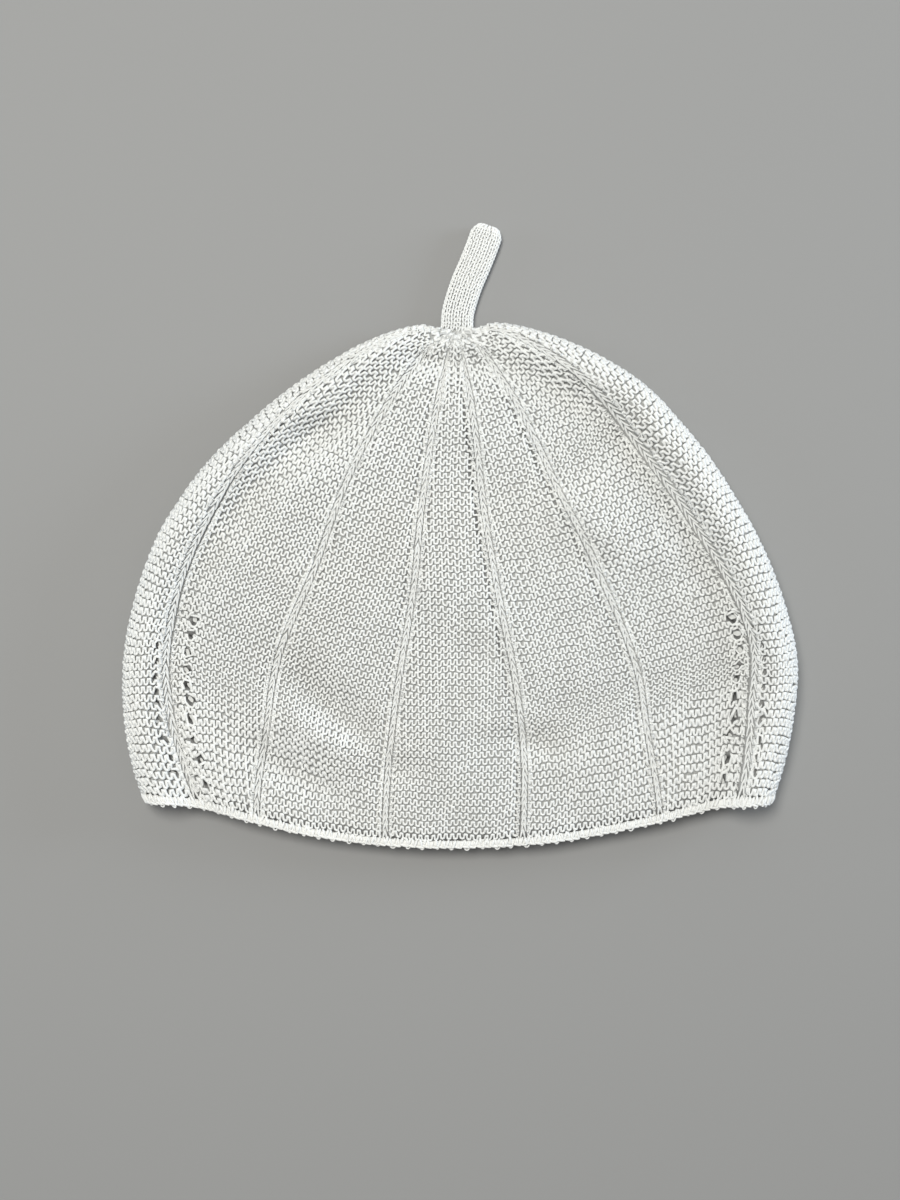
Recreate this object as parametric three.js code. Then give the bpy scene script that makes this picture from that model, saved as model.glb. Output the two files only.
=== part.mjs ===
// Knitted cotton nightcap lying flat, with its rim towards -Y, its crown towards +Y and a short stem.
// Millimetres, +Z up. The cap is a hollow wall of 12 gores, folded flat, so that its sides roll over
// from the front layer on top to the back layer that rests on the surface below.

import * as THREE from 'three';
import * as BufferGeometryUtils from 'three/addons/utils/BufferGeometryUtils.js';

// Driving sizes of the cap as it lies
const halfWidth = 124.8;
const crownToRim = 193;
const backLayerShorterBy = 4;
const wall = 2.6;
const leftRollRadius = 9;
const rightRollRadius = 9.8;
const rollShoulder = 10.5;
const valleyWidth = 11;
const layFlatHeight = 14;
const crownRestHeight = 3;
const rollGrowth = 0.42;

// Ribs of knit stitches that part the gores
const goreCount = 12;
const ribWidth = 5.5;
const ribHeight = 0.7;
const widestRibShare = 0.3;

// Edge band round the opening
const rimBandWidth = 3;
const rimBandThickness = 3;
const rimBandSides = 8;

// Stem at the crown
const stemWidth = 12.2;
const stemThickness = 5.2;
const stemLength = 36.3;
const stemTipRounding = 3;
const stemTipNarrowing = 0.6;
const stemFlatness = { out: 0.6, up: 0.8 };

// Clearance between pieces that touch
const seatGap = 0.3;

// How soon the ribs are pressed flat as the rolled side turns under, as a power of the sine of the turn
const pressing = 4;

// Fineness of the mesh: columns in a gore, rings of the wall's two faces, and sections of the stem
const goreSteps = 6;
const sideGoreSteps = 12;
const outerRingCount = 26;
const innerRingCount = 21;
const ringCrowding = 1.15;
const stemSectionCount = 10;
const stemSides = 16;

// Shares of the way from the crown to the rim: the first ring, where the hollow's first ring and its
// closed end lie, and where the rows of stitches begin to follow the rim
const firstRing = 0.022;
const hollowStart = 0.075;
const hollowEnd = 0.045;
const rimRowsStart = 0.78;
const dentsStart = 0.1;

// How far a row runs on straight from the middle and from the rolled side, as shares of its width
const rowPull = { middle: 0.42, side: 0.3 };
const rimPull = { middle: 0.55, side: 0.15 };

// Outline of the lying cap from the crown down to the rim's two corners:
// out is a share of halfWidth from the middle, up a share of crownToRim above the rim's middle
const crownPlace = { out: -0.011, up: 0.999 };
const rimMiddlePlace = { out: -0.029, up: 0 };
const leftEdge = [
  { out: 0.064, up: 1.001 },
  { out: 0.118, up: 1.007 },
  { out: 0.281, up: 0.972 },
  { out: 0.474, up: 0.896 },
  { out: 0.622, up: 0.819 },
  { out: 0.746, up: 0.742 },
  { out: 0.835, up: 0.665 },
  { out: 0.903, up: 0.589 },
  { out: 0.966, up: 0.474 },
  { out: 0.998, up: 0.359 },
  { out: 0.995, up: 0.244 },
  { out: 0.972, up: 0.157 },
  { out: 0.936, up: 0.086 },
];
const rightEdge = [
  { out: 0.042, up: 1.001 },
  { out: 0.11, up: 1.011 },
  { out: 0.327, up: 0.972 },
  { out: 0.534, up: 0.896 },
  { out: 0.653, up: 0.819 },
  { out: 0.748, up: 0.742 },
  { out: 0.825, up: 0.665 },
  { out: 0.89, up: 0.589 },
  { out: 0.961, up: 0.474 },
  { out: 1, up: 0.359 },
  { out: 0.988, up: 0.244 },
  { out: 0.961, up: 0.157 },
  { out: 0.926, up: 0.084 },
];

// How the rows of the front are stretched: each column is a place round the ring, in degrees from the
// front's middle (the folds are at 90), and a row says where that place lies at a share of the way
// from the crown to the rim
const frontStretch = [
  { along: 0, left75: 77, left45: 42, left15: 12, right15: 11, right45: 37, right75: 73 },
  { along: 0.3, left75: 77, left45: 42, left15: 12, right15: 10, right45: 36, right75: 68 },
  { along: 0.5, left75: 75, left45: 41, left15: 11.5, right15: 12.5, right45: 41, right75: 71 },
  { along: 0.7, left75: 75, left45: 46, left15: 14, right15: 16, right45: 46, right75: 75 },
  { along: 0.85, left75: 74, left45: 48.5, left15: 16, right15: 18, right45: 49, right75: 75 },
  { along: 1, left75: 70, left45: 54, left15: 18, right15: 19, right45: 56, right75: 76 },
];

// Height of the front layer's middle, and the depth of the valleys beside the two rolled sides,
// all as shares of layFlatHeight
const heights = [
  { along: 0, middle: 0, leftValley: 0, rightValley: 0 },
  { along: 0.03, middle: 0.36, leftValley: 0, rightValley: 0 },
  { along: 0.08, middle: 0.6, leftValley: 0.02, rightValley: 0.05 },
  { along: 0.16, middle: 0.78, leftValley: 0.06, rightValley: 0.12 },
  { along: 0.3, middle: 0.92, leftValley: 0.14, rightValley: 0.2 },
  { along: 0.5, middle: 1, leftValley: 0.14, rightValley: 0.2 },
  { along: 0.7, middle: 1, leftValley: 0.1, rightValley: 0.14 },
  { along: 0.85, middle: 0.95, leftValley: 0.05, rightValley: 0.07 },
  { along: 1, middle: 0.88, leftValley: 0.02, rightValley: 0.02 },
];

// Dents of the front layer: across and the radii long and wide are shares of halfWidth, up is a share
// of crownToRim, turn is in degrees, deep is a share of layFlatHeight, and a bulge has a negative depth
const dents = [
  { name: 'under crown', across: -0.04, up: 0.93, long: 0.13, wide: 0.045, turn: -8, deep: 0.1 },
  { name: 'upper left', across: -0.44, up: 0.796, long: 0.15, wide: 0.07, turn: 11, deep: 0.14 },
  { name: 'lower left trough', across: -0.4, up: 0.28, long: 0.2, wide: 0.07, turn: -42, deep: 0.14 },
  { name: 'lower left crest', across: -0.385, up: 0.21, long: 0.15, wide: 0.05, turn: -30, deep: -0.1 },
  { name: 'left of rim', across: -0.49, up: 0.148, long: 0.15, wide: 0.045, turn: -31, deep: 0.12 },
  { name: 'middle of rim', across: -0.19, up: 0.148, long: 0.08, wide: 0.05, turn: 0, deep: 0.07 },
  { name: 'right of rim', across: 0.23, up: 0.205, long: 0.1, wide: 0.05, turn: -10, deep: 0.08 },
  { name: 'middle', across: 0.045, up: 0.378, long: 0.08, wide: 0.06, turn: 0, deep: 0.06 },
  { name: 'lower right', across: 0.33, up: 0.28, long: 0.1, wide: 0.06, turn: 20, deep: 0.06 },
  { name: 'right crease', across: 0.53, up: 0.53, long: 0.17, wide: 0.04, turn: -6, deep: 0.08 },
  { name: 'right bulge', across: 0.445, up: 0.617, long: 0.16, wide: 0.1, turn: -40, deep: -0.12 },
];

// Middle line of the stem: along and lean are shares of stemLength, up from the crown and to the right
const stemLine = [
  { along: 0, lean: 0.01 },
  { along: 0.14, lean: 0.02 },
  { along: 0.41, lean: 0.1 },
  { along: 0.6, lean: 0.18 },
  { along: 0.8, lean: 0.26 },
  { along: 1, lean: 0.33 },
];

// Width and thickness of the stem as shares of its named sizes, from its seat to its tip
const stemSections = [
  { along: 0, width: 0.98, thickness: 0.8 },
  { along: 0.12, width: 1, thickness: 0.95 },
  { along: 0.4, width: 1.05, thickness: 1 },
  { along: 0.75, width: 1, thickness: 0.95 },
  { along: 0.92, width: 1, thickness: 0.88 },
];

// Colours of the cotton
const capCotton = 0xe8e5df;
const edgeCotton = 0xedeae5;

const mix = (a, b, share) => a + (b - a) * share;

function smooth(value) {
  const v = Math.min(Math.max(value, 0), 1);
  return v * v * (3 - 2 * v);
}

// Value of one column of a table at a share of the way, on a smooth curve through its rows
function read(rows, column, along) {
  const last = rows.length - 1;
  let i = 0;
  while (i < last - 1 && along > rows[i + 1].along) {
    i += 1;
  }
  const slope = (k) => {
    const a = rows[Math.max(k - 1, 0)];
    const b = rows[Math.min(k + 1, last)];
    return (b[column] - a[column]) / (b.along - a.along);
  };
  const span = rows[i + 1].along - rows[i].along;
  const t = Math.min(Math.max((along - rows[i].along) / span, 0), 1);
  const rise = rows[i + 1][column] - rows[i][column];
  const startPull = slope(i) * span - rise;
  const endPull = rise - slope(i + 1) * span;
  return rows[i][column] + t * rise + t * (1 - t) * ((1 - t) * startPull + t * endPull);
}

// Plan curves
const placeInPlan = (place, side) => new THREE.Vector2(place.out * halfWidth * side, place.up * crownToRim);
const crown = placeInPlan(crownPlace, 1);
const rimMiddle = placeInPlan(rimMiddlePlace, 1);

function edgeCurve(rows, side) {
  const points = [crown, ...rows.map((row) => placeInPlan(row, side))];
  return new THREE.CatmullRomCurve3(points.map((p) => new THREE.Vector3(p.x, p.y, 0)), false, 'centripetal');
}

const edges = {
  left: { side: -1, curve: edgeCurve(leftEdge, -1), roll: leftRollRadius, valley: 'leftValley' },
  right: { side: 1, curve: edgeCurve(rightEdge, 1), roll: rightRollRadius, valley: 'rightValley' },
};

// One quarter of the knitted ring at a share of the way from the crown to the rim: a row of stitches
// that runs from the middle of a layer to the rolled side, and round half of the roll
function quarterRing(along, edge, isBack) {
  const { side, curve } = edge;
  const outerPoint = curve.getPointAt(along);
  const direction = curve.getTangentAt(along);
  const toRim = smooth((along - rimRowsStart) / (1 - rimRowsStart));
  const inward = new THREE.Vector2(direction.y, -direction.x).multiplyScalar(side);
  inward.lerp(new THREE.Vector2(-side, 0), toRim).normalize();
  const reach = along * crownToRim;
  const radius = edge.roll * (1 - Math.exp((-rollGrowth * reach) / edge.roll));
  const rollMiddle = new THREE.Vector2(outerPoint.x, outerPoint.y).addScaledVector(inward, radius);
  const layerLength = crownToRim - (isBack ? backLayerShorterBy : 0);
  const middle = crown.clone().lerp(rimMiddle, (along * layerLength) / crownToRim);
  const spread = middle.distanceTo(rollMiddle);
  const middlePull = mix(rowPull.middle, rimPull.middle, toRim);
  const sidePull = mix(rowPull.side, rimPull.side, toRim);
  const fromMiddle = middle.clone().setX(middle.x + side * spread * middlePull);
  const fromRoll = rollMiddle.clone().addScaledVector(inward, spread * sidePull);
  const row = new THREE.CubicBezierCurve(middle, fromMiddle, fromRoll, rollMiddle);
  const flatLength = row.getLength();
  return { edge, inward, radius, rollMiddle, row, flatLength, length: flatLength + (radius * Math.PI) / 2 };
}

function rings(along) {
  const quarters = {};
  for (const [name, edge] of Object.entries(edges)) {
    quarters[name] = { front: quarterRing(along, edge, false), back: quarterRing(along, edge, true) };
  }
  return { along, quarters };
}

function dentDepth(point) {
  let depth = 0;
  for (const dent of dents) {
    const offset = new THREE.Vector2(point.x - dent.across * halfWidth, point.y - dent.up * crownToRim);
    offset.rotateAround(new THREE.Vector2(), THREE.MathUtils.degToRad(-dent.turn));
    const u = offset.x / (dent.long * halfWidth);
    const v = offset.y / (dent.wide * halfWidth);
    depth += dent.deep * layFlatHeight * Math.exp(-u * u - v * v);
  }
  return depth;
}

// Top of the front layer, at a distance from the middle along the row
function frontHeight(along, quarter, distance, point) {
  const middle = layFlatHeight * read(heights, 'middle', along);
  const crest = 2 * quarter.radius;
  const shoulder = Math.min(rollShoulder, quarter.flatLength);
  const toCrest = quarter.flatLength - distance;
  const rise = smooth(1 - toCrest / shoulder);
  const valleyPlace = (toCrest - shoulder) / Math.min(valleyWidth, quarter.flatLength);
  const valley = layFlatHeight * read(heights, quarter.edge.valley, along) * Math.exp(-(valleyPlace ** 2));
  const dent = dentDepth(point) * smooth(along / dentsStart);
  return mix(middle, crest, rise) - (valley + dent) * (1 - rise);
}

// A point of the wall: angle is round the ring from the front's middle (180 is the back's middle), and
// lift is how far it stands out of the outer face. The back layer is pressed flat where it rests.
function wallPoint(ring, angle, lift) {
  const turned = THREE.MathUtils.euclideanModulo(angle + 180, 360) - 180;
  const isBack = Math.abs(turned) > 90;
  const quarter = ring.quarters[turned < 0 ? 'left' : 'right'][isBack ? 'back' : 'front'];
  const fromMiddle = isBack ? 180 - Math.abs(turned) : Math.abs(turned);
  const distance = (fromMiddle / 90) * quarter.length;
  const base = crownRestHeight * (1 - smooth(ring.along / hollowStart));
  if (distance <= quarter.flatLength) {
    const plan = quarter.row.getPointAt(distance / quarter.flatLength);
    const height = isBack ? -Math.min(lift, 0) : frontHeight(ring.along, quarter, distance, plan) + lift;
    return new THREE.Vector3(plan.x, plan.y, base + height);
  }
  const turn = (distance - quarter.flatLength) / quarter.radius;
  const pressed = isBack ? Math.min(lift, 0) + Math.max(lift, 0) * Math.sin(turn) ** pressing : lift;
  const radius = quarter.radius + pressed;
  const plan = quarter.rollMiddle.clone().addScaledVector(quarter.inward, -radius * Math.sin(turn));
  const height = quarter.radius + (isBack ? -1 : 1) * radius * Math.cos(turn);
  return new THREE.Vector3(plan.x, plan.y, base + Math.max(height, 0));
}

// Gores, ribs and columns of the wall
const goreAngle = 360 / goreCount;
const ribAngles = Array.from({ length: goreCount + 1 }, (_, rib) => goreAngle * (rib + 0.5) - 90);

// Where a place of the unstretched ring lies once the front's rows are stretched
function stretched(angle, along) {
  if (angle > 90 && angle < 270) {
    return angle;
  }
  const turns = Math.round(angle / 360) * 360;
  const at = angle - turns;
  const side = at < 0 ? 'left' : 'right';
  const places = [15, 45, 75].map((place) => [place, read(frontStretch, `${side}${place}`, along)]);
  const other = read(frontStretch, `${side === 'left' ? 'right' : 'left'}15`, along);
  const stops = [[-15, -other], ...places, [90, 90]];
  const distance = Math.abs(at);
  const i = stops.findIndex((stop) => distance <= stop[0]);
  const [[from, fromPlace], [to, toPlace]] = [stops[i - 1], stops[i]];
  const place = mix(fromPlace, toPlace, (distance - from) / (to - from));
  return turns + (at < 0 ? -place : place);
}

const columns = [];
for (let rib = 0; rib < goreCount; rib += 1) {
  const start = ribAngles[rib];
  const end = ribAngles[rib + 1];
  const holdsFold = (start < 90 && end > 90) || (start < 270 && end > 270);
  const steps = holdsFold ? sideGoreSteps : goreSteps;
  for (let step = 0; step < steps; step += 1) {
    columns.push({ start, end, step, steps });
  }
}

function columnPoint(ring, column, lift) {
  const start = stretched(column.start, ring.along);
  const end = stretched(column.end, ring.along);
  const ringLength = 2 * (ring.quarters.left.front.length + ring.quarters.right.front.length);
  const goreWidth = ((end - start) / 360) * ringLength;
  const ribShare = Math.min(ribWidth / 2 / goreWidth, widestRibShare);
  const share = column.step === 0 ? 0 : mix(ribShare, 1 - ribShare, (column.step - 1) / (column.steps - 2));
  const ridge = column.step === 0 ? ribHeight * Math.min(1, goreWidth / (2 * ribWidth)) : 0;
  return wallPoint(ring, mix(start, end, share), lift + (lift < 0 ? 0 : ridge));
}

// Joins rings of equal length into one closed mesh; a start or end point closes a ring at a pole
function loft(loops, startPole, endPole) {
  const count = loops[0].length;
  const vertices = loops.flat();
  const faces = [];
  for (let k = 0; k + 1 < loops.length; k += 1) {
    for (let i = 0; i < count; i += 1) {
      const j = (i + 1) % count;
      const a = k * count + i;
      const b = k * count + j;
      faces.push(a, b, a + count, b, b + count, a + count);
    }
  }
  const addPole = (pole, firstVertex, outwards) => {
    vertices.push(pole);
    for (let i = 0; i < count; i += 1) {
      const a = firstVertex + i;
      const b = firstVertex + ((i + 1) % count);
      faces.push(vertices.length - 1, ...(outwards ? [b, a] : [a, b]));
    }
  };
  if (startPole) {
    addPole(startPole, 0, true);
    addPole(endPole, (loops.length - 1) * count, false);
  } else {
    const lastRow = (loops.length - 1) * count;
    for (let i = 0; i < count; i += 1) {
      const j = (i + 1) % count;
      faces.push(lastRow + i, lastRow + j, i, lastRow + j, j, i);
    }
  }
  return solidGeometry(vertices, faces);
}

// Turns vertices and faces into a geometry whose faces point out
function solidGeometry(vertices, faces) {
  let volume = 0;
  for (let f = 0; f < faces.length; f += 3) {
    const [a, b, c] = [vertices[faces[f]], vertices[faces[f + 1]], vertices[faces[f + 2]]];
    volume += a.dot(b.clone().cross(c));
  }
  if (volume < 0) {
    faces.reverse();
  }
  const geometry = new THREE.BufferGeometry();
  const positions = vertices.flatMap((vertex) => vertex.toArray());
  geometry.setAttribute('position', new THREE.Float32BufferAttribute(positions, 3));
  geometry.setIndex(faces);
  return BufferGeometryUtils.mergeVertices(geometry);
}

// Knitted wall: the outer face from the crown to the rim, then the inner face back to the crown
const bodyEnd = 1 - (rimBandWidth + seatGap) / crownToRim;

function bodyGeometry() {
  const outer = [];
  for (let k = 0; k < outerRingCount; k += 1) {
    const along = mix(firstRing, bodyEnd, (k / (outerRingCount - 1)) ** ringCrowding);
    const ring = rings(along);
    outer.push(columns.map((column) => columnPoint(ring, column, 0)));
  }
  const inner = [];
  for (let k = 0; k < innerRingCount; k += 1) {
    const ring = rings(mix(bodyEnd, hollowStart, k / (innerRingCount - 1)));
    inner.push(columns.map((column) => columnPoint(ring, column, -wall)));
  }
  const crownPole = new THREE.Vector3(crown.x, crown.y, crownRestHeight);
  const innerPlace = crown.clone().lerp(rimMiddle, hollowEnd);
  const innerPole = new THREE.Vector3(innerPlace.x, innerPlace.y, wall + crownRestHeight / 2);
  return loft([...outer, ...inner], crownPole, innerPole);
}

// Edge band: a flat loop of rounded section that follows the rim
function rimGeometry() {
  const bandMiddle = 1 - rimBandWidth / 2 / crownToRim;
  const loops = [];
  for (let k = 0; k < rimBandSides; k += 1) {
    const turn = ((k + 0.5) / rimBandSides) * 2 * Math.PI;
    const across = Math.cos(turn) / Math.cos(Math.PI / rimBandSides);
    const out = Math.sin(turn) / Math.cos(Math.PI / rimBandSides);
    const along = bandMiddle + (across * rimBandWidth) / 2 / crownToRim;
    const lift = (out * rimBandThickness - wall) / 2;
    const ring = rings(Math.min(along, 1));
    loops.push(columns.map((column) => {
      const start = stretched(column.start, ring.along);
      const end = stretched(column.end, ring.along);
      return wallPoint(ring, mix(start, end, column.step / column.steps), lift);
    }));
  }
  return loft(loops, null, null);
}

// Highest point of the cap's outline beside the crown, within the width of the stem
function crownSeat() {
  let top = crown.y;
  for (const { curve } of Object.values(edges)) {
    for (const point of curve.getSpacedPoints(200)) {
      if (Math.abs(point.x - crown.x) < stemWidth / 2) {
        top = Math.max(top, point.y);
      }
    }
  }
  return top;
}

// Section of the stem, square to its middle line: flat, with round edges
function stemSection(line, along, shrink) {
  const centre = line.getPointAt(along);
  const direction = along === 0 ? new THREE.Vector3(0, 1, 0) : line.getTangentAt(along);
  const across = new THREE.Vector3(direction.y, -direction.x, 0);
  const halfAcross = (stemWidth / 2) * read(stemSections, 'width', along) * shrink;
  const halfThick = (stemThickness / 2) * read(stemSections, 'thickness', along) * shrink;
  const loop = [];
  for (let i = 0; i < stemSides; i += 1) {
    const turn = (i / stemSides) * 2 * Math.PI;
    const out = Math.sign(Math.cos(turn)) * Math.abs(Math.cos(turn)) ** stemFlatness.out;
    const up = Math.sign(Math.sin(turn)) * Math.abs(Math.sin(turn)) ** stemFlatness.up;
    const point = centre.clone().addScaledVector(across, halfAcross * out);
    loop.push(point.setZ(centre.z + halfThick * up));
  }
  return loop;
}

// Stem: a flattened knitted tab that lies on the surface beside the crown
function stemGeometry() {
  const seat = crownSeat() + seatGap;
  const line = new THREE.CatmullRomCurve3(stemLine.map((row) => new THREE.Vector3(
    crown.x + row.lean * stemLength,
    seat + row.along * stemLength,
    stemThickness / 2,
  )));
  const tipShare = stemTipRounding / stemLength;
  const loops = [];
  for (let k = 0; k <= stemSectionCount; k += 1) {
    loops.push(stemSection(line, (k / stemSectionCount) * (1 - tipShare), 1));
  }
  for (const turn of [30, 60, 80]) {
    const angle = THREE.MathUtils.degToRad(turn);
    const shrink = mix(stemTipNarrowing, 1, Math.cos(angle));
    loops.push(stemSection(line, 1 - tipShare * (1 - Math.sin(angle)), shrink));
  }
  return loft(loops, line.getPointAt(0), line.getPointAt(1));
}

// Assembly
function piece(name, geometry, colour) {
  const material = new THREE.MeshStandardMaterial({ color: colour, roughness: 0.95, metalness: 0 });
  const mesh = new THREE.Mesh(geometry, material);
  mesh.name = name;
  return mesh;
}

const nightcap = new THREE.Group();
nightcap.add(piece('cap_body', bodyGeometry(), capCotton));
nightcap.add(piece('rim_edge', rimGeometry(), edgeCotton));
nightcap.add(piece('stem', stemGeometry(), capCotton));

// The origin is under the middle of the whole cap, on the surface that it rests on
const size = new THREE.Box3().setFromObject(nightcap);
nightcap.position.set(-(size.min.x + size.max.x) / 2, -(size.min.y + size.max.y) / 2, -size.min.z);

export default nightcap;
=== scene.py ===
import math

import bpy
import numpy as np
from bpy.props import FloatProperty, FloatVectorProperty, IntProperty, PointerProperty
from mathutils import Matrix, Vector


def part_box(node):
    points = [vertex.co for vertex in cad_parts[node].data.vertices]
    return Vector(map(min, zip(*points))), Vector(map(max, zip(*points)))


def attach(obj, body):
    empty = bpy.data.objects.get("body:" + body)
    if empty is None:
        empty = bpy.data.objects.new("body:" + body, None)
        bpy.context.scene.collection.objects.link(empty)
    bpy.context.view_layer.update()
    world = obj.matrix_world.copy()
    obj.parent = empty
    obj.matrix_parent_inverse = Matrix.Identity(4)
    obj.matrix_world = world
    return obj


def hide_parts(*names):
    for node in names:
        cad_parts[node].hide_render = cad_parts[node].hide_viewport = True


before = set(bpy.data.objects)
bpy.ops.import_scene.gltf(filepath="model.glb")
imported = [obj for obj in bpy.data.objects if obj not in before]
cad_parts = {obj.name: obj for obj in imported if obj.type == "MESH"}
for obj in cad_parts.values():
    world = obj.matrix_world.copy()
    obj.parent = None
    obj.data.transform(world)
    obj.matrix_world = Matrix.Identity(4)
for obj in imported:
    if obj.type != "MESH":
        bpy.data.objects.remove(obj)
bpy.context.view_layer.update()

bl_info = {
    "name": "Knitted nightcap",
    "version": (1, 0, 0),
    "blender": (4, 5, 0),
    "location": "View3D > Sidebar > Nightcap",
    "description": "A white cotton cap of garter-stitch gores, lying flat",
    "category": "Add Mesh",
}

# The box of the solid cap, before anything is added
BODY_LOW, BODY_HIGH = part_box("cap_body")
STEM_LOW, STEM_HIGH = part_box("stem")
MM = 0.001


def table(*rows):
    """A short table: the first row names the columns."""
    return {name: np.array([row[k] for row in rows[1:]], float) for k, name in enumerate(rows[0])}


# Outline of the lying cap from the crown down to the rim's two corners:
# out is a share of half the width from the middle, up a share of the length above the rim's middle
CROWN = (-0.011, 0.999)
RIM_MIDDLE = (-0.029, 0)
LEFT_EDGE = table(
    ("out", "up"),
    (0.064, 1.001), (0.118, 1.007), (0.281, 0.972), (0.474, 0.896), (0.622, 0.819),
    (0.746, 0.742), (0.835, 0.665), (0.903, 0.589), (0.966, 0.474), (0.998, 0.359),
    (0.995, 0.244), (0.972, 0.157), (0.936, 0.086),
)
RIGHT_EDGE = table(
    ("out", "up"),
    (0.042, 1.001), (0.11, 1.011), (0.327, 0.972), (0.534, 0.896), (0.653, 0.819),
    (0.748, 0.742), (0.825, 0.665), (0.89, 0.589), (0.961, 0.474), (1, 0.359),
    (0.988, 0.244), (0.961, 0.157), (0.926, 0.084),
)

# Where six places of the front's rows lie once the knit is stretched, in degrees from the middle;
# unstretched they lie at 75, 45 and 15 to each side, and the folds at 90
STRETCH_PLACES = (75, 45, 15)
FRONT_STRETCH = table(
    ("along", "left75", "left45", "left15", "right15", "right45", "right75"),
    (0, 77, 42, 12, 11, 37, 73),
    (0.3, 77, 42, 12, 10, 36, 68),
    (0.5, 75, 41, 11.5, 12.5, 41, 71),
    (0.7, 75, 46, 14, 16, 46, 75),
    (0.85, 74, 48.5, 16, 18, 49, 75),
    (1, 70, 54, 18, 19, 56, 76),
)

# Height of the front layer's middle and depth of the valleys beside the rolled sides,
# as shares of the lying height
HEIGHTS = table(
    ("along", "middle", "left_valley", "right_valley"),
    (0, 0, 0, 0),
    (0.03, 0.36, 0, 0),
    (0.08, 0.6, 0.02, 0.05),
    (0.16, 0.78, 0.06, 0.12),
    (0.3, 0.92, 0.14, 0.2),
    (0.5, 1, 0.14, 0.2),
    (0.7, 1, 0.1, 0.14),
    (0.85, 0.95, 0.05, 0.07),
    (1, 0.88, 0.02, 0.02),
)

# Dents of the front layer: across, long and wide are shares of half the width, up of the length,
# turn is in degrees and deep is in DENT_DEPTH lying heights, negative for a bulge
DENTS = table(
    ("across", "up", "long", "wide", "turn", "deep"),
    (-0.04, 0.93, 0.13, 0.045, -8, 0.1),
    (-0.44, 0.796, 0.15, 0.07, 11, 0.14),
    (-0.4, 0.28, 0.2, 0.07, -42, 0.2),
    (-0.385, 0.21, 0.15, 0.05, -30, -0.1),
    (-0.49, 0.148, 0.15, 0.045, -31, 0.17),
    (-0.19, 0.148, 0.08, 0.05, 0, 0.07),
    (0.23, 0.205, 0.1, 0.05, -10, 0.08),
    (0.045, 0.378, 0.08, 0.06, 0, 0.06),
    (0.33, 0.28, 0.1, 0.06, 20, 0.06),
    (0.53, 0.53, 0.17, 0.05, -6, 0.04),
    (0.445, 0.617, 0.16, 0.1, -40, -0.12),
)

# Narrower folds within the dents, in the same terms
CREASES = table(
    ("across", "up", "long", "wide", "turn", "deep"),
    (-0.42, 0.32, 0.16, 0.045, -50, 0.05),
    (-0.385, 0.21, 0.17, 0.045, -30, -0.06),
    (-0.5, 0.16, 0.15, 0.04, -31, 0.06),
    (-0.19, 0.15, 0.08, 0.04, 0, 0.04),
    (0.22, 0.2, 0.09, 0.035, -12, 0.05),
    (0.12, 0.245, 0.12, 0.035, 4, -0.04),
    (0.4, 0.26, 0.1, 0.035, 48, 0.04),
    (0.42, 0.6, 0.15, 0.045, -42, -0.04),
    (-0.5, 0.79, 0.16, 0.045, 14, 0.06),
    (-0.05, 0.94, 0.12, 0.035, -8, 0.12),
)

# Shares of the way from the crown to the rim
RIM_ROWS_START = 0.78
DENTS_START = 0.1
HOLLOW_START = 0.075
FIRST_RING, LAST_RING = 0.003, 0.988
FIRST_RIDGE, LAST_RIDGE = 0.016, 0.978

# The way down the front, over its folds, against the cap's length
WAY_DOWN = 1.08

# What a table's depth of 1 comes to, in lying heights, how high the crown's middle is off the floor,
# and how wide the slope of a roll and the valley beside it are
DENT_DEPTH = 1.5
CROWN_LIFT = 0.003
SLOPE_WIDTH = 0.0105
VALLEY_WIDTH = 0.007

# Rings of the ground's outer face and columns in each of its gores, and how deep it lies
GROUND_RINGS = 96
GROUND_COLUMNS = 24
GROUND_DEPTH = 1.45 * MM

# How much of a rib's groove the stitches beside it leave free, how much of half a rib they keep out of,
# and the height of ridge that the yarn's radius is for
GROOVE_SHARE = 0.15
RIB_SHARE = 0.64
RIDGE_HEIGHT = 2.5 * MM

# How far an eyelet pushes the stitches round it aside, and how far out it does so, in its radii
EYELET_PUSH = 1.45
EYELET_REACH = 1.8

# Yarns that close the crown, and the gore in which a small slit parts them
GATHERS = 84
GATHER_YARN = 0.27 * MM
SLIT_GORE = 2.45

# The knitted stem: half its width and thickness, how full its section is (1 for an ellipse, less for a
# fuller one), its middle's height over the floor, its stitches, and how far it reaches into the crown
STEM_HALF_WIDTH = 6.1 * MM
STEM_HALF_THICKNESS = 2.55 * MM
STEM_WIDTH_POWER, STEM_THICKNESS_POWER = 0.6, 0.8
STEM_MIDDLE = 2.6 * MM
STEM_WALES = 14
STEM_ROWS = 27
STEM_YARN = 0.4 * MM
STEM_FOOT_DEPTH = 0.002

# Points in a finely drawn ring, and a length that stands for nothing where one can't be zero
FINE = 4000
NEARLY_NOTHING = 1e-7

# Sizes of the cotton's fine grain, as scales of its noise
YARN_GRAIN = 3200
STEM_GRAIN = 3800
GROUND_GRAIN = 2500

# Painted shade of the ground, against its cotton's colour: on its outer face between the stitches, and
# darkest in the holes, in the grooves beside the ribs and above the edge band
GROUND_SHADE = 0.58
HOLE_SHADE = 0.05

# Grooves along the flanks of the front's ribs, in millimetres deep; the ground's painted shade in them
# grows with the same depths
FLANKS = table(
    ("rib", "left", "right"),
    (0, 0.3, 0.5), (1, 0.2, 0.4), (2, 0.5, 0.4), (3, 0.9, 0.2), (4, 0.75, 0.3), (5, 0.75, 0.1),
)

# One garter stitch, from the top of its head to the link with the next: across is a share of the
# stitch, up of the ridge, lift is in millimetres and thick a share of the yarn
STITCH = table(
    ("across", "up", "lift", "thick"),
    (0.15, 0.28, -0.42, 1.06),
    (0.19, 0.02, -0.72, 0.9),
    (0.27, -0.36, -0.86, 0.88),
    (0.5, -0.4, -0.54, 1),
    (0.73, -0.36, -0.86, 0.88),
    (0.81, 0.02, -0.72, 0.9),
    (0.85, 0.28, -0.42, 1.06),
)

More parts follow.
